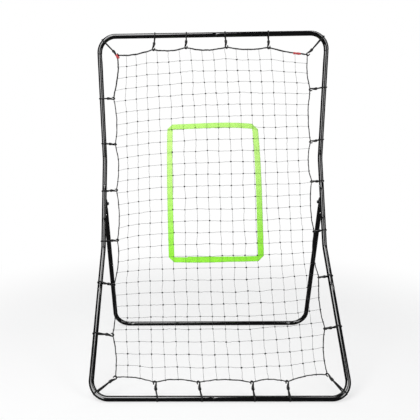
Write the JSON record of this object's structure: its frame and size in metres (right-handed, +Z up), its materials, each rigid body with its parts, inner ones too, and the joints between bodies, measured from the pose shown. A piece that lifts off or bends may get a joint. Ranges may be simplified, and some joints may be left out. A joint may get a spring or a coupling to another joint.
{
  "type": "pitch back rebounder",
  "caption": "Free-standing ball rebounder: a sloped, twice-bent tube frame with a stretched net and strike zone, propped by a folding rear leg.",
  "frame": {"origin": "on the floor under the middle of the part's box", "axes": "+Z up, +Y back towards the rear leg, the ball comes from -Y, X across the frame"},
  "size_m": [1.0568, 0.7992, 1.4916],
  "materials": {
    "black_powder_coat": "gloss black powder coat",
    "hinge_steel": "gloss black powder coat",
    "black_nylon": "moulded black nylon",
    "zinc_bolts": "bright zinc plate",
    "washer_nylon": "natural nylon",
    "spring_steel": "blued spring steel",
    "button_steel": "polished nickel",
    "net_twine": "knotted polyester twine",
    "border_cord": "twisted black cord",
    "green_ribbon": "fluorescent green woven ribbon",
    "black_elastic": "braided elastic",
    "hook_plastic": "moulded black plastic",
    "red_tag": "woven red tape"
  },
  "bodies": {
    "front_frame": {"top_corner_left": "black_powder_coat", "top_corner_right": "black_powder_coat", "upper_side_left": "black_powder_coat", "upper_side_right": "black_powder_coat", "hinge_sleeve_left": "black_powder_coat", "hinge_sleeve_right": "black_powder_coat", "knee_tube_left": "black_powder_coat", "knee_tube_right": "black_powder_coat", "bottom_corner_left": "black_powder_coat", "bottom_corner_right": "black_powder_coat", "hinge_bracket_left": "hinge_steel", "hinge_bracket_right": "hinge_steel", "pivot_bolts": "zinc_bolts", "lock_nuts": "zinc_bolts", "pivot_washers": "washer_nylon", "frame_button_springs": "spring_steel", "net_lower": "net_twine", "net_middle": "net_twine", "net_upper": "net_twine", "border_cord": "border_cord", "strike_zone_ribbon": "green_ribbon", "top_elastic_loops": "black_elastic", "left_elastic_loops": "black_elastic", "right_elastic_loops": "black_elastic", "bottom_elastic_loops": "black_elastic", "top_hooks": "hook_plastic", "left_hooks": "hook_plastic", "right_hooks": "hook_plastic", "bottom_hooks": "hook_plastic", "red_tags": "red_tag"},
    "rear_leg": {"leg_upper_left": "black_powder_coat", "leg_upper_right": "black_powder_coat", "leg_corner_left": "black_powder_coat", "leg_corner_right": "black_powder_coat", "rear_bar": "black_powder_coat", "hinge_plug_left": "black_nylon", "hinge_plug_right": "black_nylon", "leg_button_springs": "spring_steel"},
    "top_bar_button": {"top_bar_button": "button_steel"},
    "top_corner_button_right": {"top_corner_button_right": "button_steel"},
    "top_corner_button_left": {"top_corner_button_left": "button_steel"},
    "sleeve_top_button_right": {"sleeve_top_button_right": "button_steel"},
    "sleeve_top_button_left": {"sleeve_top_button_left": "button_steel"},
    "sleeve_bottom_button_right": {"sleeve_bottom_button_right": "button_steel"},
    "sleeve_bottom_button_left": {"sleeve_bottom_button_left": "button_steel"},
    "lower_side_button_right": {"lower_side_button_right": "button_steel"},
    "lower_side_button_left": {"lower_side_button_left": "button_steel"},
    "bottom_bar_button": {"bottom_bar_button": "button_steel"},
    "leg_button_right": {"leg_button_right": "button_steel"},
    "leg_button_left": {"leg_button_left": "button_steel"},
    "rear_bar_button_right": {"rear_bar_button_right": "button_steel"},
    "rear_bar_button_left": {"rear_bar_button_left": "button_steel"}
  },
  "joints": [
    {"name": "leg_fold", "type": "hinge", "parent": "front_frame", "child": "rear_leg", "pos_m": [0, 0.15266, 0.71196], "axis": [-1, 0, 0], "range_deg": [0, 36.3]},
    {"name": "top_bar_button_press", "type": "slide", "parent": "front_frame", "child": "top_bar_button", "axis": [0, -0.9962, -0.0872], "range_m": [0, 0.0036], "stiffness_N_per_m": 1500, "springref_m": -0.003, "deforming": ["frame_button_springs"]},
    {"name": "top_corner_button_right_press", "type": "slide", "parent": "front_frame", "child": "top_corner_button_right", "axis": [0, -0.9962, -0.0872], "range_m": [0, 0.0036], "stiffness_N_per_m": 1500, "springref_m": -0.003, "deforming": ["frame_button_springs"]},
    {"name": "top_corner_button_left_press", "type": "slide", "parent": "front_frame", "child": "top_corner_button_left", "axis": [0, -0.9962, -0.0872], "range_m": [0, 0.0036], "stiffness_N_per_m": 1500, "springref_m": -0.003, "deforming": ["frame_button_springs"]},
    {"name": "sleeve_top_button_right_press", "type": "slide", "parent": "front_frame", "child": "sleeve_top_button_right", "axis": [0.9397, 0.3248, -0.1071], "range_m": [0, 0.0036], "stiffness_N_per_m": 1500, "springref_m": -0.003, "deforming": ["frame_button_springs"]},
    {"name": "sleeve_top_button_left_press", "type": "slide", "parent": "front_frame", "child": "sleeve_top_button_left", "axis": [-0.9397, 0.3248, -0.1071], "range_m": [0, 0.0036], "stiffness_N_per_m": 1500, "springref_m": -0.003, "deforming": ["frame_button_springs"]},
    {"name": "sleeve_bottom_button_right_press", "type": "slide", "parent": "front_frame", "child": "sleeve_bottom_button_right", "axis": [0.9397, -0.3248, 0.1071], "range_m": [0, 0.0036], "stiffness_N_per_m": 1500, "springref_m": -0.003, "deforming": ["frame_button_springs"]},
    {"name": "sleeve_bottom_button_left_press", "type": "slide", "parent": "front_frame", "child": "sleeve_bottom_button_left", "axis": [-0.9397, -0.3248, 0.1071], "range_m": [0, 0.0036], "stiffness_N_per_m": 1500, "springref_m": -0.003, "deforming": ["frame_button_springs"]},
    {"name": "lower_side_button_right_press", "type": "slide", "parent": "front_frame", "child": "lower_side_button_right", "axis": [-0.7071, 0.5296, -0.4685], "range_m": [0, 0.0036], "stiffness_N_per_m": 1500, "springref_m": -0.003, "deforming": ["frame_button_springs"]},
    {"name": "lower_side_button_left_press", "type": "slide", "parent": "front_frame", "child": "lower_side_button_left", "axis": [0.7071, 0.5296, -0.4685], "range_m": [0, 0.0036], "stiffness_N_per_m": 1500, "springref_m": -0.003, "deforming": ["frame_button_springs"]},
    {"name": "bottom_bar_button_press", "type": "slide", "parent": "front_frame", "child": "bottom_bar_button", "axis": [0, -0.9981, -0.061], "range_m": [0, 0.0036], "stiffness_N_per_m": 1500, "springref_m": -0.003, "deforming": ["frame_button_springs"]},
    {"name": "leg_button_right_press", "type": "slide", "parent": "rear_leg", "child": "leg_button_right", "axis": [0.9397, 0.3241, 0.1091], "range_m": [0, 0.0036], "stiffness_N_per_m": 1500, "springref_m": -0.003, "deforming": ["leg_button_springs"]},
    {"name": "leg_button_left_press", "type": "slide", "parent": "rear_leg", "child": "leg_button_left", "axis": [-0.9397, 0.3241, 0.1091], "range_m": [0, 0.0036], "stiffness_N_per_m": 1500, "springref_m": -0.003, "deforming": ["leg_button_springs"]},
    {"name": "rear_bar_button_right_press", "type": "slide", "parent": "rear_leg", "child": "rear_bar_button_right", "axis": [0, 0.342, -0.9397], "range_m": [0, 0.0036], "stiffness_N_per_m": 1500, "springref_m": -0.003, "deforming": ["leg_button_springs"]},
    {"name": "rear_bar_button_left_press", "type": "slide", "parent": "rear_leg", "child": "rear_bar_button_left", "axis": [0, 0.342, -0.9397], "range_m": [0, 0.0036], "stiffness_N_per_m": 1500, "springref_m": -0.003, "deforming": ["leg_button_springs"]}
  ]
}
